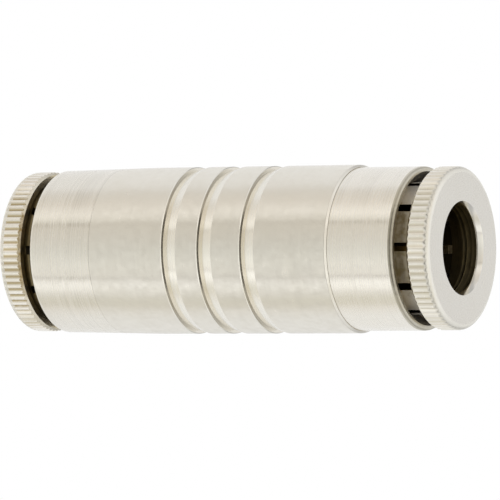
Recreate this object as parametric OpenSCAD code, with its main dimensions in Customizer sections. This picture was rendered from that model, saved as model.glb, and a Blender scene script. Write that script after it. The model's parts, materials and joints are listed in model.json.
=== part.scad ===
// Straight push-to-connect union for plastic air tube, all metal.
// The axis of the fitting lies along X. The origin is the middle of the body.
// Millimetres. +Z is up. "Out" is away from the middle, "in" is towards it.

/* [Tube] */
// Outside diameter of the tube that the fitting takes
tube_od = 6.0; // [5.85:0.05:6.05]
// Clearance on the diameter between the tube and the bores that guide it
tube_clearance = 0.10; // [0.06:0.01:0.16]
// Distance from the middle of the body to each tube stop
tube_stop_x = 1.2; // [0.8:0.1:2.0]
// Diameter of the air passage between the two tube stops
passage_d = 4.6; // [3.0:0.1:5.2]

/* [Body] */
// Distance between the two seams, where the body meets the pressed-in end caps
seam_spacing = 18.58; // [18.5:0.02:18.8]
// Outside diameter of the body
body_od = 11.7; // [11.6:0.05:12.4]
// Distance from the left seam over which the body tapers down to the left cap
taper_length = 3.0; // [1.0:0.1:4.0]
// Depth of the three grip grooves
groove_depth = 0.34; // [0.2:0.02:0.4]
// Length of the ramp that leads out of each grip groove
groove_ramp = 1.10; // [0.6:0.05:1.5]

/* [End caps] */
// Length of the right cap outside its seam
cap_right_length = 5.00; // [4.8:0.05:5.2]
// Length of the left cap outside its seam
cap_left_length = 4.83; // [4.8:0.01:5.2]
// Outside diameter of the right cap, which is straight
cap_right_od = 11.36; // [11.3:0.02:11.5]
// Outside diameter of the left cap at its seam
cap_left_seam_od = 11.60; // [11.5:0.02:11.7]
// Outside diameter of the left cap at its end
cap_left_end_od = 11.44; // [11.3:0.02:11.6]
// Diameter of the mouth that the collet slides in
mouth_d = 9.36; // [9.34:0.01:9.40]

/* [Collets] */
// Outside diameter of the knurled flange
flange_od = 11.3; // [10.8:0.1:11.6]
// Thickness of the knurled flange
flange_thickness = 1.70; // [1.6:0.05:2.4]
// Number of teeth in the straight knurl
knurl_teeth = 72; // [48:2:90]
// Depth of the knurl
knurl_depth = 0.10; // [0.06:0.02:0.2]
// Gap between flange and right cap when the collet is pulled right out
full_gap = 0.98; // [0.9:0.01:1.2]
// How far the left collet stands in from its outer stop
left_inset = 0.34; // [0:0.01:0.5]
// Number of slots between the springy fingers, an even number
slot_count = 10; // [6:2:12]
// Width of each slot
slot_width = 0.60; // [0.3:0.05:0.8]

/* [Hidden] */

$fn = 96;
nickel = [0.80, 0.79, 0.76];
nickel_bright = [0.86, 0.85, 0.82];
plain_brass = [0.80, 0.66, 0.36];
seal_rubber = [0.06, 0.06, 0.07];

// Seams and ends of the body
seam = seam_spacing / 2;
right_end = seam + cap_right_length;
left_end = seam + cap_left_length;
body_r = body_od / 2;
passage_r = passage_d / 2;
guide_r = (tube_od + tube_clearance) / 2;
groove_steps = [-3.53, -0.74, 2.59];
groove_rim = 0.05;
edge_break = 0.06;
seam_bevel = 0.14;
seam_step = 0.03;

// Seal pocket, washer shoulder and counterbore in each end of the body
seat_length = 2.75;
pocket_length = 2.20;
pocket_inner_x = tube_stop_x + seat_length;
pocket_outer_x = pocket_inner_x + pocket_length;
pocket_r = 4.62;
counterbore_r = 5.45;
seat_chamfer = 0.22;

// Seal, as it stands when squeezed round a tube
tube_play = 0.018;
seal_play = 0.02;
seal_inner_r = tube_od / 2 + tube_play;
seal_outer_r = pocket_r - seal_play;
seal_section = seal_outer_r - seal_inner_r;
seal_width = 2.04;

// Support washer
washer_play = 0.01;
washer_thickness = 0.70;
washer_hole_step = 0.20;
washer_rim_play = 0.03;
washer_hole_r = guide_r + washer_hole_step;
washer_r = counterbore_r - washer_rim_play;

// Inside of the end cap: chamfered mouth, cone that closes the fingers, finger chamber
spigot_end = pocket_outer_x + washer_thickness;
spigot_chamfer = 0.12;
mouth_r = mouth_d / 2;
mouth_chamfer = 0.70;
chamber_r = 5.05;
cone_offset = 1.21;
cone_outer_x = seam + cone_offset;
cone_slope = 0.617;
cone_inner_x = cone_outer_x - (chamber_r - mouth_r) / cone_slope;
cap_edge_r = 0.30;
mouth_rim = 0.04;

// Collet, drawn for the right side at its outer stop
neck_play = 0.08;
neck_r = mouth_r - neck_play;
head_r = 4.88;
cone_play = 0.06;
head_cone_outer_x = cone_outer_x - (neck_r - mouth_r) / cone_slope - cone_play;
head_cone_inner_x = head_cone_outer_x - (head_r - neck_r) / cone_slope;
tip_inset = 0.99;
tip_chamfer = 0.25;
tip_x = seam - tip_inset;
flange_rear = right_end + full_gap;
flange_face = flange_rear + flange_thickness;
flange_r = flange_od / 2;
flange_edge_r = 0.40;
rear_chamfer = 0.20;
neck_flare = 0.40;
lip_width = 0.21;
lip_depth = 0.43;
relief_depth = 0.22;
relief_step = 0.10;
relief_r = guide_r + relief_depth;
relief_end = flange_rear + relief_step;
tooth_r = tube_od / 2 + tube_play;
tooth_pitch = 0.45;
tooth_count = 3;
tooth_start = 0.15;
tooth_face = 0.04;
tooth_gap = 0.08;
knurl_crest = 0.01;

// The slots are sawn from outside, so they end further in at the bore than on the neck
slot_turn = 16.5;
slot_root = 0.06;
slot_run_out = 0.70;
slot_step = 0.09;
slot_outer_end = flange_rear - slot_root;
slot_inner_end = flange_rear - slot_run_out;
slot_outer_r = neck_r + slot_step;
saw_reach = 6;
overshoot = 1;

// Points of an arc from angle a0 to a1 round the centre (cx, cr)
function arc(cx, cr, radius, a0, a1, steps = 8) =
    [for (i = [0:steps])
        let (a = a0 + (a1 - a0) * i / steps)
        [cx + radius * cos(a), cr + radius * sin(a)]];

// A solid of revolution about X, from an outline of [x, radius] points
module turned(outline) {
    rotate([0, 90, 0])
        rotate_extrude($fn = 96)
            polygon([for (p = outline) [p[1], p[0]]]);
}

// One half of the body's inside, from the middle out, as [x, radius] points
function inside_half() = [
    [tube_stop_x, passage_r],
    [tube_stop_x, guide_r],
    [pocket_inner_x - seat_chamfer, guide_r],
    [pocket_inner_x, guide_r + seat_chamfer],
    [pocket_inner_x, pocket_r],
    [pocket_outer_x, pocket_r],
    [pocket_outer_x, counterbore_r],
    [seam, counterbore_r]];

// One grip groove: a square step down with its rim broken, then a ramp back up
function groove(x) = [
    [x - groove_rim, body_r],
    [x, body_r - groove_rim],
    [x, body_r - groove_depth],
    [x + groove_ramp, body_r]];

module body() {
    inside = inside_half();
    last = len(inside) - 1;
    left_inside = [for (i = [last:-1:0]) [-inside[i][0], inside[i][1]]];
    right_r = body_r;
    left_r = cap_left_seam_od / 2;
    color(nickel)
        turned(concat(
            left_inside,
            inside,
            [[seam, cap_right_od / 2 + seam_step], [seam - seam_bevel, right_r]],
            [for (k = [2:-1:0]) for (i = [3:-1:0]) groove(groove_steps[k])[i]],
            [[-seam + taper_length, right_r], [-seam + edge_break, left_r], [-seam, left_r - edge_break]]));
}

// An end cap for the right side, with its own end and its own outside radii at the seam and there
module end_cap(end_x, seam_r, end_r) {
    color(nickel)
        turned(concat(
            [[spigot_end, chamber_r],
             [cone_inner_x, chamber_r],
             [cone_outer_x, mouth_r],
             [end_x - mouth_chamfer, mouth_r],
             [end_x, end_r - cap_edge_r - mouth_rim]],
            arc(end_x - cap_edge_r, end_r - cap_edge_r, cap_edge_r, 0, 90),
            [[seam + edge_break, seam_r],
             [seam, seam_r - edge_break],
             [seam, counterbore_r],
             [spigot_end + spigot_chamfer, counterbore_r],
             [spigot_end, counterbore_r - spigot_chamfer]]));
}

// Support washer for the right side
module support_washer() {
    inner_x = pocket_outer_x + washer_play;
    outer_x = spigot_end - washer_play;
    color(plain_brass)
        turned([[inner_x, washer_hole_r],
                [outer_x, washer_hole_r],
                [outer_x, washer_r],
                [inner_x, washer_r]]);
}

// Seal for the right side, with a section that has round ends
module o_ring() {
    middle_x = (pocket_inner_x + pocket_outer_x) / 2;
    middle_r = (seal_inner_r + seal_outer_r) / 2;
    half_flat = (seal_width - seal_section) / 2;
    color(seal_rubber)
        rotate([0, 90, 0])
            rotate_extrude($fn = 96)
                union() {
                    translate([middle_r, middle_x - half_flat])
                        circle(d = seal_section, $fn = 32);
                    translate([middle_r, middle_x + half_flat])
                        circle(d = seal_section, $fn = 32);
                    translate([seal_inner_r, middle_x - half_flat])
                        square([seal_section, 2 * half_flat]);
                }
}

// Inside of the finger heads: saw-tooth rings that bite the tube
function grip_teeth() =
    [for (i = [0:tooth_count - 1])
        let (x = tip_x + tooth_start + i * tooth_pitch)
        each [[x, relief_r], [x + tooth_face, tooth_r], [x + tooth_pitch - tooth_gap, relief_r]]];

// Turned outline of the collet, before knurl and slots
module collet_blank() {
    turned(concat(
        [[tip_x, relief_r]],
        grip_teeth(),
        [[relief_end, relief_r],
         [relief_end + relief_step, guide_r],
         [flange_face - lip_depth, guide_r],
         [flange_face, guide_r + lip_width]],
        arc(flange_face - flange_edge_r, flange_r - flange_edge_r, flange_edge_r, 0, 90, 3),
        [[flange_rear + rear_chamfer, flange_r],
         [flange_rear, flange_r - rear_chamfer],
         [flange_rear, neck_r + neck_flare],
         [flange_rear - neck_flare, neck_r],
         [head_cone_outer_x, neck_r],
         [head_cone_inner_x, head_r],
         [tip_x + tip_chamfer, head_r],
         [tip_x, head_r - tip_chamfer]]));
}

// Prism with a saw-tooth rim, which leaves the knurl on the flange
module knurl_form() {
    rotate([0, 90, 0])
        translate([0, 0, tip_x - overshoot])
            linear_extrude(height = flange_face - tip_x + 2 * overshoot)
                polygon([for (i = [0:2 * knurl_teeth - 1])
                    let (a = 180 * i / knurl_teeth)
                    let (r = i % 2 == 0 ? flange_r + knurl_crest : flange_r - knurl_depth)
                    [r * cos(a), r * sin(a)]]);
}

// Slab that saws two opposite slots, one up and one down
module slot_saw() {
    rotate([90, 0, 0])
        linear_extrude(height = slot_width, center = true)
            polygon([[tip_x - overshoot, -saw_reach],
                     [tip_x - overshoot, saw_reach],
                     [slot_outer_end, saw_reach],
                     [slot_outer_end, slot_outer_r],
                     [slot_inner_end, relief_r],
                     [slot_inner_end, -relief_r],
                     [slot_outer_end, -slot_outer_r],
                     [slot_outer_end, -saw_reach]]);
}

// Collet for the right side, at its outer stop
module collet() {
    color(nickel_bright)
        difference() {
            intersection() {
                collet_blank();
                knurl_form();
            }
            for (i = [0:slot_count / 2 - 1])
                rotate([i * 360 / slot_count + slot_turn, 0, 0])
                    slot_saw();
        }
}

module end_cap_left() {
    mirror([1, 0, 0]) end_cap(left_end, cap_left_seam_od / 2, cap_left_end_od / 2);
}

module end_cap_right() {
    end_cap(right_end, cap_right_od / 2, cap_right_od / 2);
}

module support_washer_left() {
    mirror([1, 0, 0]) support_washer();
}

module support_washer_right() {
    support_washer();
}

module o_ring_left() {
    mirror([1, 0, 0]) o_ring();
}

module o_ring_right() {
    o_ring();
}

module collet_left() {
    translate([left_inset, 0, 0]) mirror([1, 0, 0]) collet();
}

module collet_right() {
    collet();
}

body();
end_cap_left();
end_cap_right();
support_washer_left();
support_washer_right();
o_ring_left();
o_ring_right();
collet_left();
collet_right();
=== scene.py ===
"""Looks of a straight push-to-connect union: nickel-plated body and end caps, sprung collets with
knurled flanges, brass washers and rubber seals. The fitting's axis lies along X. Lengths are in
millimetres until a mesh is made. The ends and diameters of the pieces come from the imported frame,
and the sizes within them are those of the CAD part."""

import json
import math

import bmesh
import bpy
from mathutils import Euler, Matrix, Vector

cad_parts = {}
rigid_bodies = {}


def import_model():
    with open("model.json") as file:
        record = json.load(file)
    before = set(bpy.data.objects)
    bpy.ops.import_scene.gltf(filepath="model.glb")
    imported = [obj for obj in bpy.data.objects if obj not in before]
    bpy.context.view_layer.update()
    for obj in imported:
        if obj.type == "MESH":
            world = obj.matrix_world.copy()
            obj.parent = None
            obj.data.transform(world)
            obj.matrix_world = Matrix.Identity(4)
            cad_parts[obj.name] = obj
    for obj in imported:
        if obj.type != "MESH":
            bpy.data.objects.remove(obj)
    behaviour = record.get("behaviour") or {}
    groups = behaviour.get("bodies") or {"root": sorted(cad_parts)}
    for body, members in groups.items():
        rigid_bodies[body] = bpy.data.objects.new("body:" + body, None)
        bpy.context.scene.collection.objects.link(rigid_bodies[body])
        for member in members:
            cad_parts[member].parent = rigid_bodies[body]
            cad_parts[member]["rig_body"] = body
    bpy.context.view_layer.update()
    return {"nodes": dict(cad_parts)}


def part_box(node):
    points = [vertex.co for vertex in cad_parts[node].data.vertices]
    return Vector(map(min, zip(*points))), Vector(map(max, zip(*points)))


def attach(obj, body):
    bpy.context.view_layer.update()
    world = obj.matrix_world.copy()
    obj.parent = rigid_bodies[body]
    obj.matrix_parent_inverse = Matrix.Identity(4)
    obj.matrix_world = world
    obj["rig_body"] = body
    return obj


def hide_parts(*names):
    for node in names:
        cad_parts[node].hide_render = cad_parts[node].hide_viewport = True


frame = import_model()

MM = 0.001

# ---------------------------------------------------------------- places, from the frame


def reach(node):
    """Lowest x, highest x and outer radius of a CAD node, in millimetres."""
    low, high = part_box(node)
    return low.x / MM, high.x / MM, high.z / MM


SEAM, BODY_R = reach("body")[1:]
SPIGOT_END, RIGHT_END, CAP_RIGHT_R = reach("end_cap_right")
LEFT_END, _, CAP_LEFT_SEAM_R = reach("end_cap_left")
WASHER_IN, WASHER_OUT, WASHER_R = reach("support_washer_right")
SEAL_IN, SEAL_OUT, SEAL_R = reach("o_ring_right")
COLLET_TIP, COLLET_FACE, FLANGE_R = reach("collet_right")
LEFT_COLLET_FACE = reach("collet_left")[0]

# ---------------------------------------------------------------- other sizes

# Mesh: facets round a turned piece, and how far a supporting ring stands from a curve
TURNED_SIDES = 256
SUPPORT = 0.04

# Inside of the body
PASSAGE_R = 2.30
GUIDE_R = 3.05
TUBE_STOP_X = 1.20
SEAT_CHAMFER = 0.22
POCKET_IN = 3.95
POCKET_OUT = 6.15
POCKET_R = 4.62
COUNTERBORE_R = 5.45

# Outside of the body
GROOVES_X = (-3.53, -0.74, 2.59)
GROOVE_DEPTH = 0.34
GROOVE_RIM = 0.05
GROOVE_RAMP = 1.10
TAPER_LENGTH = 3.0
SEAM_STEP = 0.03
SEAM_BEVEL = 0.14

# End caps
MOUTH_R = 4.68
CHAMBER_R = 5.05
CONE_OUT = SEAM + 1.21
CONE_SLOPE = 0.617
SPIGOT_CHAMFER = 0.12
CAP_LEFT_END_R = 5.72
CAP_EDGE = 0.30
CAP_EDGE_CURVE = 0.29
CAP_EDGE_FINISH = 0.36
MOUTH_RIM = 0.04
MOUTH_EDGE = 0.04
MOUTH_CHAMFER = 0.70
MOUTH_FINISH = 0.50

# Roundings of turned edges, from sharp to soft
CRISP = 0.015
KEEN = 0.02
FINE = 0.03
EASED = 0.05
SOFT = 0.06
BROAD = 0.08

# Washers and seals
WASHER_HOLE_R = 3.25
SEAL_HOLE_R = 3.018
SEAL_STEPS = 12

# Collets: flange and bore, as depths behind the front face
FLANGE_THICKNESS = 1.70
FLANGE_EDGE = 0.40
EDGE_STEPS = 12
REAR_CHAMFER = 0.20
REAR_STEPS = 6
LIP_WIDTH = 0.21
LIP_DEPTH = 0.43
LIP_STEPS = 5
LIP_CURVE = 1.25
LIP_RIM = 0.03
RELIEF_R = 3.27
RELIEF_STEP = 0.10

# Collets: neck, finger heads and teeth
NECK_R = 4.60
NECK_FLARE = 0.40
FLARE_STEPS = 4
HEAD_R = 4.88
CONE_PLAY = 0.06
TIP_CHAMFER = 0.25
TIP_ROUND = (0.08, 0.07)
TOOTH_R = 3.018
TEETH = 3
BITE_PITCH = 0.45
TOOTH_START = 0.15
TOOTH_FACE = 0.04
TOOTH_GAP = 0.08

# Collets: slots and knurl, and the mesh columns that draw them. KNURL_CREST is the flat share of a
# tooth, and KNURL_MARGIN keeps tests of the radius clear of the crest and the valley
SLOTS = 10
SLOT_WIDTH = 0.60
SLOT_PHASE = 16.5
SLOT_END_OUTSIDE = 0.06
SLOT_END_INSIDE = 0.70
KNURL_TEETH = 72
KNURL_DEPTH = 0.10
KNURL_CREST = 0.15
KNURL_MARGIN = 0.02
COLUMNS = 720
SECTOR_COLUMNS = COLUMNS // SLOTS
FINGER_COLUMNS = 56

# Order of a collet's materials
FACE, EDGE, LIP, KNURL, REAR_EDGE, REAR, FINGER, SLOT, BORE, INSIDE, GRIP = range(11)

# ---------------------------------------------------------------- materials

# Turning marks: rings to the millimetre along a piece, and how fast they change round it
RINGS = 7.0
RING_DRIFT = 0.06

# Heights of the marks on plated metal, in millimetres
RING_HEIGHT = 0.010
SWELL_HEIGHT = 0.008
GRAIN_HEIGHT = 0.0024
WAVE_HEIGHT = 0.012

# What tarnish does to a tint, and the roughness of plated metal's two layers as shares of the stated one
TARNISH = (0.86, 0.83, 0.74)
ROUGH_LAYER = 1.2
SMOOTH_LAYER = 0.5


class Nodes:
    """Short calls that add shader nodes to a tree and link them."""

    def __init__(self, tree):
        self.tree = tree
        tree.nodes.clear()

    def add(self, kind, inputs=None, **settings):
        made = self.tree.nodes.new(kind)
        for key, value in settings.items():
            setattr(made, key, value)
        for key, value in (inputs or {}).items():
            self.feed(made.inputs[key], value)
        return made

    def feed(self, socket, value):
        if isinstance(value, bpy.types.NodeSocket):
            self.tree.links.new(value, socket)
        else:
            socket.default_value = value

    def math(self, operation, a, b=0.0):
        return self.add("ShaderNodeMath", {0: a, 1: b}, operation=operation).outputs[0]

    def remap(self, value, low, high, to_low=0.0, to_high=1.0, smooth=False):
        inputs = {"Value": value, "From Min": low, "From Max": high, "To Min": to_low, "To Max": to_high}
        kind = "SMOOTHSTEP" if smooth else "LINEAR"
        return self.add("ShaderNodeMapRange", inputs, interpolation_type=kind).outputs["Result"]

    def noise(self, vector, scale, detail, roughness):
        inputs = {"Vector": vector, "Scale": scale, "Detail": detail, "Roughness": roughness}
        return self.add("ShaderNodeTexNoise", inputs).outputs["Fac"]

    def blend(self, share, a, b):
        mixer = self.add("ShaderNodeMix", data_type="RGBA", blend_type="MIX")
        # Sockets 0, 6 and 7 are the share and the two colours, and output 2 is the mixed colour
        for index, value in ((0, share), (6, a), (7, b)):
            self.feed(mixer.inputs[index], value)
        return mixer.outputs[2]

    def scaled(self, vector, scale):
        return self.add("ShaderNodeVectorMath", {0: vector, "Scale": scale}, operation="SCALE").outputs[0]

    def bump(self, height, strength=1.0):
        """The surface normal that a height in millimetres gives."""
        inputs = {"Strength": strength, "Distance": MM, "Height": height}
        return self.add("ShaderNodeBump", inputs).outputs[0]


def new_material(name):
    material = bpy.data.materials.new(name)
    material.use_nodes = True
    return material, Nodes(material.node_tree)


def colour(red, green, blue):
    return (red, green, blue, 1.0)


def turned_coordinates(nodes, fine, slow):
    """The place in millimetres, its z, the radius, and a vector that changes quickly along the axis
    and the radius but slowly round them."""
    place = nodes.add("ShaderNodeTexCoord").outputs["Object"]
    in_mm = nodes.scaled(place, 1 / MM)
    x, y, z = nodes.add("ShaderNodeSeparateXYZ", {0: in_mm}).outputs
    across = nodes.add("ShaderNodeCombineXYZ", {"Y": y, "Z": z}).outputs[0]
    radius = nodes.add("ShaderNodeVectorMath", {0: across}, operation="LENGTH").outputs["Value"]
    rounds = nodes.add("ShaderNodeCombineXYZ", {
        "X": nodes.math("MULTIPLY", nodes.math("ADD", x, radius), fine),
        "Y": nodes.math("MULTIPLY", y, slow),
        "Z": nodes.math("MULTIPLY", z, slow)}).outputs[0]
    return in_mm, z, radius, rounds


def nickel(name, tint, roughness, marks, mottle, stretch=0.5, tarnish=0.1, lines=0.0, polish=0.4,
           valleys=None, shaded=None, shaded_z=(2.3, 3.3)):
    """Plated metal. marks is the height of the turning marks and lines their darkness, mottle is
    the matt grain, stretch how far the turning marks draw out the highlights, tarnish the strength
    of the stains and polish the share of the smoother layer. valleys is the tint of painted shade at
    the bottom of the knurl, fainter far above and below the axis, and shaded the tint of painted
    light and shade on the front and back, which fades out between the two heights of shaded_z."""
    material, nodes = new_material(name)
    in_mm, z, radius, rounds = turned_coordinates(nodes, RINGS, RING_DRIFT)
    fine_rings = nodes.noise(rounds, scale=1.0, detail=2.5, roughness=0.65)
    broad_rings = nodes.noise(rounds, scale=0.30, detail=1.0, roughness=0.5)
    grain = nodes.noise(in_mm, scale=2.2, detail=3.0, roughness=0.6)
    clouds = nodes.noise(in_mm, scale=0.55, detail=3.0, roughness=0.55)

    stained = tuple(part * share for part, share in zip(tint, TARNISH))
    worn = nodes.math("MULTIPLY", nodes.remap(clouds, 0.35, 0.70), tarnish)
    base = nodes.blend(worn, colour(*tint), colour(*stained))
    # Height above or below the axis, with a ragged edge
    aside = nodes.math("ADD", nodes.math("ABSOLUTE", z), nodes.remap(grain, 0.3, 0.7, -0.4, 0.4))
    # Painted light and shade: the shaded tint is laid on the front and back near the axis's height, in ragged
    # patches, and fades out between the heights of shaded_z
    if shaded:
        patchy = nodes.remap(grain, 0.35, 0.60, 1.0, 0.55)
        front = nodes.remap(aside, *shaded_z, 1.0, 0.0, smooth=True)
        base = nodes.blend(nodes.math("MULTIPLY", front, patchy), base, colour(*shaded))
    # Painted shade in the knurl's valleys, deepest at the bottom of each valley and fainter far above and
    # below the axis
    if valleys:
        bottom, top = FLANGE_R - KNURL_DEPTH + KNURL_MARGIN, FLANGE_R - KNURL_MARGIN
        depth = nodes.remap(radius, bottom, top, 1.0, 0.0)
        knurl_valley_shade = nodes.math("MULTIPLY", depth, nodes.remap(aside, 3.2, 4.6, 1.0, 0.3, smooth=True))
        base = nodes.blend(knurl_valley_shade, base, colour(*valleys))
    if lines:
        streaks = nodes.remap(fine_rings, 0.35, 0.65, 1.0 - lines, 1.0 + lines)
        base = nodes.scaled(base, streaks)

    rough = nodes.math("ADD", roughness, nodes.remap(fine_rings, 0.3, 0.7, -0.10 * marks, 0.10 * marks))
    rough = nodes.math("ADD", rough, nodes.remap(grain, 0.3, 0.7, -0.03 * mottle, 0.05 * mottle))

    rings = nodes.math("MULTIPLY", fine_rings, RING_HEIGHT * marks)
    swell = nodes.math("MULTIPLY", broad_rings, SWELL_HEIGHT * marks)
    pits = nodes.math("MULTIPLY", grain, GRAIN_HEIGHT * mottle)
    waves = nodes.math("MULTIPLY", clouds, WAVE_HEIGHT * mottle)
    height = nodes.math("ADD", nodes.math("ADD", rings, swell), nodes.math("ADD", pits, waves))
    normal = nodes.bump(height)

    # A rougher layer and a smoother one: plating over turned metal
    tangent = nodes.add("ShaderNodeTangent", direction_type="RADIAL", axis="X").outputs[0]
    layers = []
    for share in (ROUGH_LAYER, SMOOTH_LAYER):
        shader = nodes.add("ShaderNodeBsdfPrincipled", {
            "Base Color": base, "Metallic": 1.0, "Roughness": nodes.math("MULTIPLY", rough, share),
            "Normal": normal, "Anisotropic": stretch, "Anisotropic Rotation": 0.25, "Tangent": tangent})
        layers.append(shader.outputs[0])
    both = nodes.add("ShaderNodeMixShader", {0: polish, 1: layers[0], 2: layers[1]})
    nodes.add("ShaderNodeOutputMaterial", {"Surface": both.outputs[0]})
    return material


def brass(name):
    """Turned brass, with brown stains."""
    material, nodes = new_material(name)
    in_mm, _, _, rounds = turned_coordinates(nodes, RINGS, 0.2)
    rings = nodes.noise(rounds, scale=1.0, detail=3.0, roughness=0.6)
    stains = nodes.noise(in_mm, scale=1.2, detail=3.0, roughness=0.6)
    base = nodes.blend(nodes.remap(stains, 0.35, 0.7), colour(0.78, 0.58, 0.27), colour(0.60, 0.40, 0.18))
    rough = nodes.remap(rings, 0.3, 0.7, 0.24, 0.36)
    normal = nodes.bump(nodes.math("MULTIPLY", rings, 0.003))
    shader = nodes.add("ShaderNodeBsdfPrincipled", {
        "Base Color": base, "Metallic": 1.0, "Roughness": rough, "Normal": normal})
    nodes.add("ShaderNodeOutputMaterial", {"Surface": shader.outputs[0]})
    return material


def rubber(name):
    """Black rubber, with pores and a greyish bloom."""
    material, nodes = new_material(name)
    in_mm = turned_coordinates(nodes, 1.0, 1.0)[0]
    pores = nodes.noise(in_mm, scale=9.0, detail=3.0, roughness=0.6)
    bloom = nodes.noise(in_mm, scale=0.9, detail=3.0, roughness=0.5)
    black, bloomed = colour(0.012, 0.012, 0.013), colour(0.035, 0.034, 0.033)
    base = nodes.blend(nodes.remap(bloom, 0.4, 0.75), black, bloomed)
    rough = nodes.remap(bloom, 0.3, 0.7, 0.50, 0.66)
    normal = nodes.bump(nodes.math("MULTIPLY", pores, 0.006), strength=0.8)
    shader = nodes.add("ShaderNodeBsdfPrincipled", {"Base Color": base, "Roughness": rough, "Normal": normal})
    nodes.add("ShaderNodeOutputMaterial", {"Surface": shader.outputs[0]})
    return material


# Body and caps
BODY_NICKEL = nickel("nickel_matt", (0.84, 0.815, 0.752), roughness=0.29, marks=0.30, mottle=1.5,
                     stretch=0.6, polish=0.3)
CAP_LEFT_NICKEL = nickel("nickel_turned_left", (0.81, 0.785, 0.725), roughness=0.21, marks=1.5, mottle=0.6,
                         stretch=0.6, lines=0.09)
CAP_RIGHT_NICKEL = nickel("nickel_turned_right", (0.85, 0.823, 0.762), roughness=0.21, marks=1.1, mottle=0.5,
                          stretch=0.6, lines=0.06)
# Painted shade: the right cap's end face and edge are darker than the cap, and darker still in front, as
# shade from the collet's flange beside them
CAP_EDGE_PAINTED_SHADE = nickel("nickel_cap_edge_painted_shade", (0.64, 0.61, 0.53), roughness=0.38, marks=0.3, mottle=0.5,
                         stretch=0.3, tarnish=0.5, shaded=(0.42, 0.39, 0.32))
# Painted light and shade: the caps' mouth chamfer is near black above and below, and a paler tint is painted
# on it in front
MOUTH_PAINTED_LIGHT_AND_SHADE = nickel("nickel_mouth_painted_light_and_shade", (0.04, 0.032, 0.02), roughness=0.40, marks=0.3, mottle=0.8,
                      stretch=0.3, tarnish=0.8, shaded=(0.75, 0.64, 0.44), shaded_z=(4.2, 4.9))
RAMP_NICKEL = nickel("nickel_ramp", (0.82, 0.80, 0.74), roughness=0.20, marks=0.6, mottle=0.5,
                     lines=0.03)
# Painted shade: the groove walls are a little darker in front
WALL_NICKEL = nickel("nickel_groove_wall", (0.86, 0.82, 0.74), roughness=0.14, marks=0.2, mottle=0.3,
                     stretch=0.0, shaded=(0.80, 0.76, 0.68))

# Collets, outside
FLANGE_NICKEL = nickel("nickel_flange", (0.76, 0.735, 0.68), roughness=0.22, marks=0.2, mottle=0.5,
                       stretch=0.4)
EDGE_NICKEL = nickel("nickel_flange_edge", (0.84, 0.82, 0.76), roughness=0.40, marks=0.2, mottle=0.5,
                     stretch=0.2)
LIP_NICKEL = nickel("nickel_lip", (0.84, 0.82, 0.77), roughness=0.16, marks=0.2, mottle=0.2,
                    stretch=0.2)
# Painted shade in the knurls' valleys, lighter on the right knurl
KNURL_LEFT = nickel("nickel_knurl", (0.90, 0.88, 0.84), roughness=0.18, marks=0.1, mottle=0.5,
                    stretch=0.0, tarnish=0.7, valleys=(0.53, 0.45, 0.29))
KNURL_RIGHT = nickel("nickel_knurl_faint_valley_shade", (0.88, 0.86, 0.81), roughness=0.24, marks=0.1, mottle=0.5,
                     stretch=0.0, tarnish=0.5, valleys=(0.70, 0.66, 0.56))
# Painted shade: the flange's rear chamfer is brown in front
REAR_EDGE_PAINTED_SHADE = nickel("nickel_rear_edge_painted_shade", (0.80, 0.76, 0.66), roughness=0.40, marks=0.3, mottle=1.0,
                          stretch=0.0, tarnish=0.6, shaded=(0.30, 0.22, 0.10))
REAR_NICKEL = nickel("nickel_rear", (0.92, 0.83, 0.63), roughness=0.36, marks=0.3, mottle=1.5,
                     stretch=0.0, tarnish=0.8)
# Painted shade: the left collet's fingers are dark brown all over, as shade in the gap between the cap and
# the flange
FINGER_LEFT_PAINTED_SHADE = nickel("nickel_finger_left_painted_shade", (0.29, 0.24, 0.135), roughness=0.40, marks=0.4, mottle=1.5,
                     stretch=0.2, tarnish=0.8)
# Painted shade: the right collet's fingers are pale, with brown painted in front
FINGER_RIGHT_PAINTED_SHADE = nickel("nickel_finger", (0.92, 0.90, 0.86), roughness=0.62, marks=0.4, mottle=1.5,
                      stretch=0.0, tarnish=0.3, polish=0.1, shaded=(0.50, 0.43, 0.28))

# Bores, slots and other insides
# Painted shade: the sides of the slots are near black
SLOT_PAINTED_SHADE = nickel("nickel_slot_painted_shade", (0.05, 0.042, 0.028), roughness=0.34, marks=0.2, mottle=0.8,
                     stretch=0.0, tarnish=0.4)
INSIDE_NICKEL = nickel("nickel_inside", (0.34, 0.28, 0.17), roughness=0.34, marks=0.6, mottle=1.0,
                       stretch=0.2, tarnish=0.8, lines=0.2)
# Painted shade: the teeth and the caps' insides are dark brown
GRIP_PAINTED_SHADE = nickel("nickel_grip_painted_shade", (0.16, 0.135, 0.085), roughness=0.34, marks=0.6, mottle=1.0,
                     stretch=0.2, tarnish=0.8)
BORE_NICKEL = nickel("nickel_bore", (0.57, 0.49, 0.31), roughness=0.30, marks=1.2, mottle=1.0,
                     stretch=0.2, tarnish=0.8, lines=0.45)
WASHER_BRASS = brass("brass_washer")
SEAL_RUBBER = rubber("rubber_seal")

# ---------------------------------------------------------------- meshes


def rounded(corners, steps=5):
    """An outline from corners (x, radius, rounding, material), with each rounded corner as a curve.
    A point just outside each end of a curve keeps the flats beside it flat when they are shaded."""
    outline = []
    for i, (x, radius, rounding, material) in enumerate(corners):
        here = Vector((x, radius))
        if not rounding:
            outline.append((x, radius, material))
            continue
        back = (Vector(corners[i - 1][:2]) - here).normalized()
        onward = (Vector(corners[(i + 1) % len(corners)][:2]) - here).normalized()
        cut = rounding / math.tan(back.angle(onward) / 2)
        start, end = here + back * cut, here + onward * cut
        support = min(SUPPORT, cut * 0.5)
        outline.append((*(start + back * support), corners[i - 1][3]))
        for k in range(steps + 1):
            t = k / steps
            point = (1 - t) ** 2 * start + 2 * t * (1 - t) * here + t ** 2 * end
            outline.append((*point, material))
        outline.append((*(end + onward * support), material))
    return outline


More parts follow.
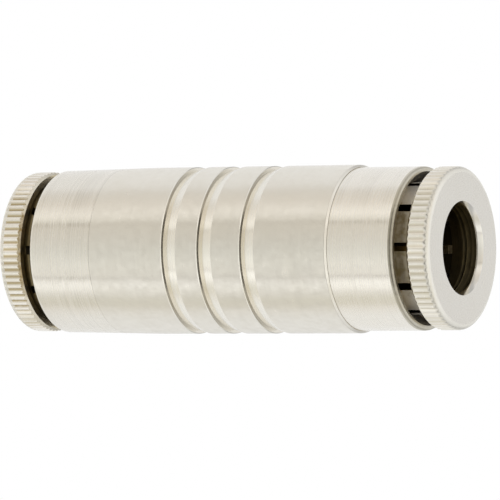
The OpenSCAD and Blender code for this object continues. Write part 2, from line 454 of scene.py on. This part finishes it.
def make_piece(name, points, faces, face_slots, materials, node, sharp=32):
    """A mesh object that stands for a CAD node. The points are in millimetres, and edges that turn
    by more than sharp degrees are shaded as edges."""
    mesh = bpy.data.meshes.new(name)
    mesh.from_pydata([Vector(p) * MM for p in points], [], faces)
    for material in materials:
        mesh.materials.append(material)
    mesh.polygons.foreach_set("material_index", face_slots)
    solid = bmesh.new()
    solid.from_mesh(mesh)
    bmesh.ops.recalc_face_normals(solid, faces=solid.faces)
    solid.to_mesh(mesh)
    solid.free()
    mesh.shade_smooth()
    mesh.set_sharp_from_angle(angle=math.radians(sharp))
    piece = bpy.data.objects.new(name, mesh)
    bpy.context.scene.collection.objects.link(piece)
    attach(piece, frame["nodes"][node]["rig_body"])
    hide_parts(node)


def turned_piece(name, outline, materials, node, side=1):
    """Turns a closed outline of (x, radius, material) round X. side -1 mirrors it to the left end."""
    rows, sides = len(outline), TURNED_SIDES
    points, faces, face_slots = [], [], []
    for x, radius, _ in outline:
        for j in range(sides):
            angle = math.tau * j / sides
            points.append((side * x, radius * math.cos(angle), radius * math.sin(angle)))
    for i, (_, _, material) in enumerate(outline):
        following = (i + 1) % rows
        for j in range(sides):
            across = (j + 1) % sides
            faces.append((i * sides + j, i * sides + across,
                          following * sides + across, following * sides + j))
            face_slots.append(material)
    make_piece(name, points, faces, face_slots, materials, node)


def body():
    """The middle tube of the fitting, with its three grip grooves."""
    outside, inside, ramp, wall = range(4)
    half = [
        (TUBE_STOP_X, PASSAGE_R, BROAD, inside),
        (TUBE_STOP_X, GUIDE_R, 0, inside),
        (POCKET_IN - SEAT_CHAMFER, GUIDE_R, EASED, inside),
        (POCKET_IN, GUIDE_R + SEAT_CHAMFER, FINE, inside),
        (POCKET_IN, POCKET_R, 0, inside),
        (POCKET_OUT, POCKET_R, FINE, inside),
        (POCKET_OUT, COUNTERBORE_R, 0, inside),
        (SEAM, COUNTERBORE_R, 0, inside)]
    corners = [(-x, radius, rounding, material) for x, radius, rounding, material in reversed(half)]
    corners += half
    corners += [
        (SEAM, CAP_RIGHT_R + SEAM_STEP, KEEN, outside),
        (SEAM - SEAM_BEVEL, BODY_R, SOFT, outside)]
    for x in reversed(GROOVES_X):
        corners += [
            (x + GROOVE_RAMP, BODY_R, KEEN, ramp),
            (x, BODY_R - GROOVE_DEPTH, 0, wall),
            (x, BODY_R - GROOVE_RIM, 0, ramp),
            (x - GROOVE_RIM, BODY_R, 0, outside)]
    corners += [
        (-SEAM + TAPER_LENGTH, BODY_R, 0, outside),
        (-SEAM, CAP_LEFT_SEAM_R, CRISP, outside)]
    materials = [BODY_NICKEL, INSIDE_NICKEL, RAMP_NICKEL, WALL_NICKEL]
    turned_piece("body_shell", rounded(corners), materials, "body")


def end_cap(name, node, end_x, seam_r, end_r, seam_edge, side, outside_nickel, edge_nickel):
    """A pressed-in end cap: spigot, cone that closes the fingers, chamfered mouth, round edge."""
    outside, inside, edge, mouth = range(4)
    cone_in = CONE_OUT - (CHAMBER_R - MOUTH_R) / CONE_SLOPE
    edge_r = end_r + (seam_r - end_r) * CAP_EDGE_FINISH / (end_x - SEAM)
    corners = [
        (SPIGOT_END, CHAMBER_R, EASED, inside),
        (cone_in, CHAMBER_R, 0, inside),
        (CONE_OUT, MOUTH_R, EASED, inside),
        (end_x - MOUTH_CHAMFER - MOUTH_FINISH, MOUTH_R, 0, mouth),
        (end_x - MOUTH_CHAMFER, MOUTH_R, MOUTH_EDGE, mouth),
        (end_x, end_r - CAP_EDGE - MOUTH_RIM, 0, edge),
        (end_x, end_r, CAP_EDGE_CURVE, edge),
        (end_x - CAP_EDGE_FINISH, edge_r, 0, outside),
        (SEAM, seam_r, seam_edge, outside),
        (SEAM, COUNTERBORE_R, 0, inside),
        (SPIGOT_END + SPIGOT_CHAMFER, COUNTERBORE_R, 0, inside),
        (SPIGOT_END, COUNTERBORE_R - SPIGOT_CHAMFER, 0, inside)]
    # The cap's inside takes the dark grip material, which is painted shade
    materials = [outside_nickel, GRIP_PAINTED_SHADE, edge_nickel, MOUTH_PAINTED_LIGHT_AND_SHADE]
    turned_piece(name, rounded(corners), materials, node, side)


def washer(name, node, side):
    """A flat washer with eased edges."""
    corners = [
        (WASHER_IN, WASHER_HOLE_R, SOFT, 0),
        (WASHER_OUT, WASHER_HOLE_R, SOFT, 0),
        (WASHER_OUT, WASHER_R, SOFT, 0),
        (WASHER_IN, WASHER_R, SOFT, 0)]
    turned_piece(name, rounded(corners), [WASHER_BRASS], node, side)


def seal(name, node, side):
    """A seal with round ends, squeezed flat against the tube and the pocket."""
    middle_r = (SEAL_R + SEAL_HOLE_R) / 2
    end_r = (SEAL_R - SEAL_HOLE_R) / 2
    outline = []
    for centre, start in ((SEAL_IN + end_r, 90), (SEAL_OUT - end_r, -90)):
        for k in range(SEAL_STEPS + 1):
            angle = math.radians(start + 180 * k / SEAL_STEPS)
            outline.append((centre + end_r * math.cos(angle), middle_r + end_r * math.sin(angle), 0))
    turned_piece(name, outline, [SEAL_RUBBER], node, side)


def knurl_cut(column):
    """Depth of the knurl below its crest at one of the mesh's columns."""
    phase = column * KNURL_TEETH / COLUMNS % 1
    valley = 1 - abs(2 * phase - 1)
    return KNURL_DEPTH * max(0.0, (valley - KNURL_CREST) / (1 - KNURL_CREST))


def flare(angle):
    """Depth and radius of the flare that leads from the flange's back to the neck, by angle."""
    depth = FLANGE_THICKNESS + NECK_FLARE * (1 - math.cos(angle))
    return depth, NECK_R + NECK_FLARE - NECK_FLARE * math.sin(angle)


# The flare meets the slots' end part of the way down
FLARE_CUT = math.acos(1 - SLOT_END_OUTSIDE / NECK_FLARE)


def flange_rings():
    """Rings of the collet's uncut part as (depth, radius, sawn, material), counted behind the face.
    They start at the slots' end in the bore, go round the flange, and end at the slots' end on the
    neck. A sawn ring lies on the end of the slots."""
    rear = FLANGE_THICKNESS
    rings = [(rear + SLOT_END_INSIDE, RELIEF_R, True, INSIDE), (rear, RELIEF_R, False, INSIDE),
             (rear - RELIEF_STEP, RELIEF_R, False, BORE), (rear - 2 * RELIEF_STEP, GUIDE_R, False, BORE),
             (LIP_DEPTH + SUPPORT, GUIDE_R, False, BORE)]
    for k in range(LIP_STEPS + 1):
        share = k / LIP_STEPS
        rings.append((LIP_DEPTH * (1 - share), GUIDE_R + LIP_WIDTH * share ** LIP_CURVE, False, LIP))

    front = FLANGE_R - FLANGE_EDGE
    face_in = GUIDE_R + LIP_WIDTH + LIP_RIM
    rings += [(0, face_in, False, FACE), (0, (face_in + front) / 2, False, FACE),
              (0, front - SUPPORT, False, FACE)]
    for k in range(EDGE_STEPS + 1):
        angle = math.pi / 2 * k / EDGE_STEPS
        rings.append((FLANGE_EDGE * (1 - math.cos(angle)), front + FLANGE_EDGE * math.sin(angle), False,
                      KNURL if k == EDGE_STEPS else EDGE))
    for k in range(REAR_STEPS + 1):
        share = k / REAR_STEPS
        rings.append((rear - REAR_CHAMFER * (1 - share), FLANGE_R - REAR_CHAMFER * share, False,
                      REAR if k == REAR_STEPS else REAR_EDGE))

    rings.append((rear, NECK_R + NECK_FLARE + SUPPORT, False, REAR))
    for k in range(FLARE_STEPS + 1):
        rings.append((*flare(FLARE_CUT * k / FLARE_STEPS), k == FLARE_STEPS, FINGER))
    return rings


def finger_rings():
    """Rings of the fingers alone as (depth, radius), from the slots' end on the neck round the tip
    to the bore."""
    rear, tip = FLANGE_THICKNESS, COLLET_FACE - COLLET_TIP
    rings = []
    for k in range(1, FLARE_STEPS + 1):
        rings.append(flare(FLARE_CUT + (math.pi / 2 - FLARE_CUT) * k / FLARE_STEPS))
    cone_top = COLLET_FACE - (CONE_OUT - (NECK_R - MOUTH_R) / CONE_SLOPE - CONE_PLAY)
    rings += [(rear + NECK_FLARE + SUPPORT, NECK_R), (cone_top, NECK_R),
              (cone_top + (HEAD_R - NECK_R) / CONE_SLOPE, HEAD_R),
              (tip - TIP_CHAMFER, HEAD_R), (tip - TIP_ROUND[0], HEAD_R - TIP_ROUND[1]),
              (tip, HEAD_R - TIP_CHAMFER), (tip, RELIEF_R)]
    for k in range(TEETH):
        start = tip - TOOTH_START - k * BITE_PITCH
        rings += [(start, RELIEF_R), (start - TOOTH_FACE, TOOTH_R),
                  (start - BITE_PITCH + TOOTH_GAP, RELIEF_R)]
    return rings


def column_angle(column, radius, sawn):
    """Angle of a mesh column, in radians. Sawn rings have columns along the parallel sides of each slot."""
    sector, step = divmod(column, SECTOR_COLUMNS)
    sector_angle = 360 / SLOTS
    even = (step - FINGER_COLUMNS / 2) * 360 / COLUMNS
    half = sector_angle / 2 - math.degrees(math.asin(SLOT_WIDTH / 2 / radius))
    if step <= FINGER_COLUMNS:
        cut = half * (2 * step / FINGER_COLUMNS - 1)
    else:
        share = (step - FINGER_COLUMNS) / (SECTOR_COLUMNS - FINGER_COLUMNS)
        cut = half + (sector_angle - 2 * half) * share
    # A finger's middle is half a sector from the slot that is straight up
    return math.radians((sector + 0.5) * sector_angle + (cut if sawn else even) + SLOT_PHASE + 90)


def collet_points(rings, uncut, face_x, side):
    """The points of every ring, column by column. Rings before uncut can be knurled."""
    points = []
    for i, (depth, radius, sawn, _) in enumerate(rings):
        knurled = i < uncut and radius > FLANGE_R - KNURL_DEPTH - KNURL_MARGIN
        for column in range(COLUMNS):
            r = min(radius, FLANGE_R - knurl_cut(column)) if knurled else radius
            angle = column_angle(column, radius, sawn)
            points.append((side * (face_x - depth), r * math.cos(angle), r * math.sin(angle)))
    return points


def collet_faces(rings, last):
    """Faces and their materials. last is the last ring of the uncut part, where the fingers begin."""
    faces, face_slots = [], []

    def strip(upper, lower, columns, slot):
        for column in columns:
            across = (column + 1) % COLUMNS
            faces.append((upper * COLUMNS + column, upper * COLUMNS + across,
                          lower * COLUMNS + across, lower * COLUMNS + column))
            face_slots.append(slot)

    for i in range(last):
        slot = rings[i][3]
        if slot != REAR_EDGE:
            strip(i, i + 1, range(COLUMNS), slot)
            continue
        # The knurl's valleys run on into the rear chamfer
        below = FLANGE_R - (rings[i][1] + rings[i + 1][1]) / 2
        for column in range(COLUMNS):
            strip(i, i + 1, [column], KNURL if knurl_cut(column + 0.5) > below else slot)

    finger_loop = list(range(last, len(rings))) + [0]
    for sector in range(SLOTS):
        first = sector * SECTOR_COLUMNS
        end = first + FINGER_COLUMNS
        for upper, lower in zip(finger_loop, finger_loop[1:]):
            strip(upper, lower, range(first, end), rings[upper][3])
        strip(last, 0, range(end, first + SECTOR_COLUMNS), SLOT)
        for column in (first, end):
            faces.append([i * COLUMNS + column for i in finger_loop])
            face_slots.append(SLOT)
    return faces, face_slots


def collet(name, node, face_x, side, knurl, finger_painted_shade):
    """A collet in one watertight mesh: knurled flange, ten fingers cut by slots, gripping teeth."""
    rings = flange_rings()
    uncut = len(rings)
    rings += [(depth, radius, True, FINGER if radius > RELIEF_R else GRIP)
              for depth, radius in finger_rings()]
    points = collet_points(rings, uncut, face_x, side)
    faces, face_slots = collet_faces(rings, uncut - 1)

    # The finger rings have no faces across the slots, so some of their points are left out
    used = sorted({index for face in faces for index in face})
    place = {index: k for k, index in enumerate(used)}
    points = [points[index] for index in used]
    faces = [[place[index] for index in face] for face in faces]
    # The finger, slot and grip materials carry painted shade
    materials = [FLANGE_NICKEL, EDGE_NICKEL, LIP_NICKEL, knurl, REAR_EDGE_PAINTED_SHADE, REAR_NICKEL,
                 finger_painted_shade, SLOT_PAINTED_SHADE, BORE_NICKEL, INSIDE_NICKEL, GRIP_PAINTED_SHADE]
    make_piece(name, points, faces, face_slots, materials, node, sharp=20)


body()
end_cap("end_cap_shell_right", "end_cap_right", RIGHT_END, CAP_RIGHT_R, CAP_RIGHT_R, CRISP, 1,
        CAP_RIGHT_NICKEL, CAP_EDGE_PAINTED_SHADE)
end_cap("end_cap_shell_left", "end_cap_left", -LEFT_END, CAP_LEFT_SEAM_R, CAP_LEFT_END_R, FINE, -1,
        CAP_LEFT_NICKEL, CAP_LEFT_NICKEL)
collet("release_collet_shell_right", "collet_right", COLLET_FACE, 1, KNURL_RIGHT, FINGER_RIGHT_PAINTED_SHADE)
collet("release_collet_shell_left", "collet_left", -LEFT_COLLET_FACE, -1, KNURL_LEFT, FINGER_LEFT_PAINTED_SHADE)
for end_name, end_side in (("right", 1), ("left", -1)):
    washer("washer_ring_" + end_name, "support_washer_" + end_name, end_side)
    seal("seal_ring_" + end_name, "o_ring_" + end_name, end_side)

# ---------------------------------------------------------------- floor, light and camera, in metres

FLOOR_DROP = 0.050
FLOOR_SIZE = 0.8


def floor():
    """A pale plane well below the fitting, which the metal doesn't mirror."""
    mesh = bpy.data.meshes.new("floor")
    half, drop = FLOOR_SIZE / 2, -FLOOR_DROP
    mesh.from_pydata([(-half, -half, drop), (half, -half, drop), (half, half, drop), (-half, half, drop)],
                     [], [(0, 1, 2, 3)])
    plane = bpy.data.objects.new("floor", mesh)
    bpy.context.scene.collection.objects.link(plane)
    material, nodes = new_material("pale_floor")
    shader = nodes.add("ShaderNodeBsdfDiffuse", {"Color": colour(0.86, 0.86, 0.85)})
    nodes.add("ShaderNodeOutputMaterial", {"Surface": shader.outputs[0]})
    mesh.materials.append(material)
    plane.visible_glossy = False


# Brightness of the light tent, by angle above the horizon in front (degrees), going over the top
TENT = (
    (-180, (0.91, 0.91, 0.91)), (-108, (0.95, 0.95, 0.94)), (-92, (0.92, 0.90, 0.86)),
    (-82, (0.79, 0.76, 0.68)), (-72, (0.80, 0.78, 0.70)), (-62, (0.93, 0.91, 0.87)),
    (-55, (1.12, 1.11, 1.07)), (-46, (1.16, 1.15, 1.12)), (-41, (0.94, 0.92, 0.88)),
    (-38, (0.70, 0.68, 0.64)), (-35, (0.96, 0.94, 0.89)), (-20, (0.96, 0.95, 0.90)),
    (0, (0.84, 0.83, 0.78)), (20, (0.79, 0.76, 0.70)), (34, (0.78, 0.74, 0.67)),
    (39, (0.60, 0.56, 0.50)), (43, (0.88, 0.85, 0.78)), (52, (1.04, 1.00, 0.94)),
    (60, (0.96, 0.92, 0.86)), (70, (0.83, 0.78, 0.72)), (80, (0.78, 0.74, 0.68)),
    (90, (0.77, 0.74, 0.70)), (102, (0.90, 0.89, 0.88)), (180, (0.91, 0.91, 0.91)))

# Share of that brightness by the x of the direction, from far left to far right
TENT_SIDES = ((-1, 1.16), (-0.84, 1.12), (-0.60, 1.03), (-0.46, 1.0), (-0.30, 1.10), (-0.1, 1.10),
              (0.30, 1.0), (0.48, 0.93), (0.70, 1.20), (1, 1.20))

# The dark opening between the panels in front: the x of the directions at its middle, and how far
# from there the dark begins and ends to fade
OPENING_X = 0.02
OPENING_DARK = 0.15
OPENING_EDGE = 0.30


def fill_ramp(ramp, stops):
    for k, (place, shade) in enumerate(stops):
        stop = ramp.elements[k] if k < 2 else ramp.elements.new(place)
        stop.position = place
        stop.color = colour(*shade)


def tent():
    """A soft white tent all round, with fainter panels in front and a narrow opening between them."""
    world = bpy.data.worlds.new("light_tent")
    bpy.context.scene.world = world
    world.use_nodes = True
    nodes = Nodes(world.node_tree)
    direction = nodes.add("ShaderNodeTexCoord").outputs["Generated"]
    x, y, z = nodes.add("ShaderNodeSeparateXYZ", {0: direction}).outputs
    angle = nodes.math("ARCTAN2", z, nodes.math("MULTIPLY", y, -1.0))
    ramp = nodes.add("ShaderNodeValToRGB", {"Fac": nodes.remap(angle, -math.pi, math.pi)})
    fill_ramp(ramp.color_ramp, [((degrees + 180) / 360, shade) for degrees, shade in TENT])
    sides = nodes.add("ShaderNodeValToRGB", {"Fac": nodes.remap(x, -1.0, 1.0)})
    fill_ramp(sides.color_ramp, [((x + 1) / 2, (share,) * 3) for x, share in TENT_SIDES])

    # The opening is darkest in front, fainter overhead and closed at the back
    aside = nodes.math("ABSOLUTE", nodes.math("SUBTRACT", x, OPENING_X))
    across = nodes.remap(aside, OPENING_DARK, OPENING_EDGE, 1.0, 0.0, smooth=True)
    tilt = nodes.math("ABSOLUTE", angle)
    ahead = nodes.remap(tilt, math.radians(42), math.radians(66), 0.92, 0.45, smooth=True)
    behind = nodes.remap(tilt, math.radians(150), math.radians(172), 1.0, 0.0, smooth=True)
    dark = nodes.math("MULTIPLY", nodes.math("MULTIPLY", across, ahead), behind)
    strength = nodes.math("MULTIPLY", sides.outputs[0], nodes.math("SUBTRACT", 1.0, dark))
    lit = nodes.add("ShaderNodeBackground", {"Color": ramp.outputs[0], "Strength": strength})
    white = nodes.add("ShaderNodeBackground", {"Color": colour(1.0, 1.0, 1.0)})
    seen = nodes.add("ShaderNodeLightPath").outputs["Is Camera Ray"]
    both = nodes.add("ShaderNodeMixShader", {0: seen, 1: lit.outputs[0], 2: white.outputs[0]})
    nodes.add("ShaderNodeOutputWorld", {"Surface": both.outputs[0]})


CAMERA_AZIMUTH = 27.4
CAMERA_ROLL = 0.5
CAMERA_DISTANCE = 0.455
CAMERA_LENS = 468
CAMERA_TARGET = Vector((0.00044, 0, 0))


def camera():
    """A long lens level with the fitting, turned towards its right end and rolled a little."""
    data = bpy.data.cameras.new("camera")
    data.lens = CAMERA_LENS
    data.sensor_width = 36
    data.clip_start, data.clip_end = 0.01, 10
    eye = bpy.data.objects.new("camera", data)
    bpy.context.scene.collection.objects.link(eye)
    turn = math.radians(CAMERA_AZIMUTH)
    back = Vector((math.sin(turn), -math.cos(turn), 0))
    eye.location = CAMERA_TARGET + back * CAMERA_DISTANCE
    level = Euler((math.pi / 2, 0, turn)).to_quaternion()
    eye.rotation_mode = "QUATERNION"
    eye.rotation_quaternion = level @ Euler((0, 0, -math.radians(CAMERA_ROLL))).to_quaternion()
    bpy.context.scene.camera = eye


floor()
tent()
camera()
bpy.context.scene.view_settings.view_transform = "Standard"
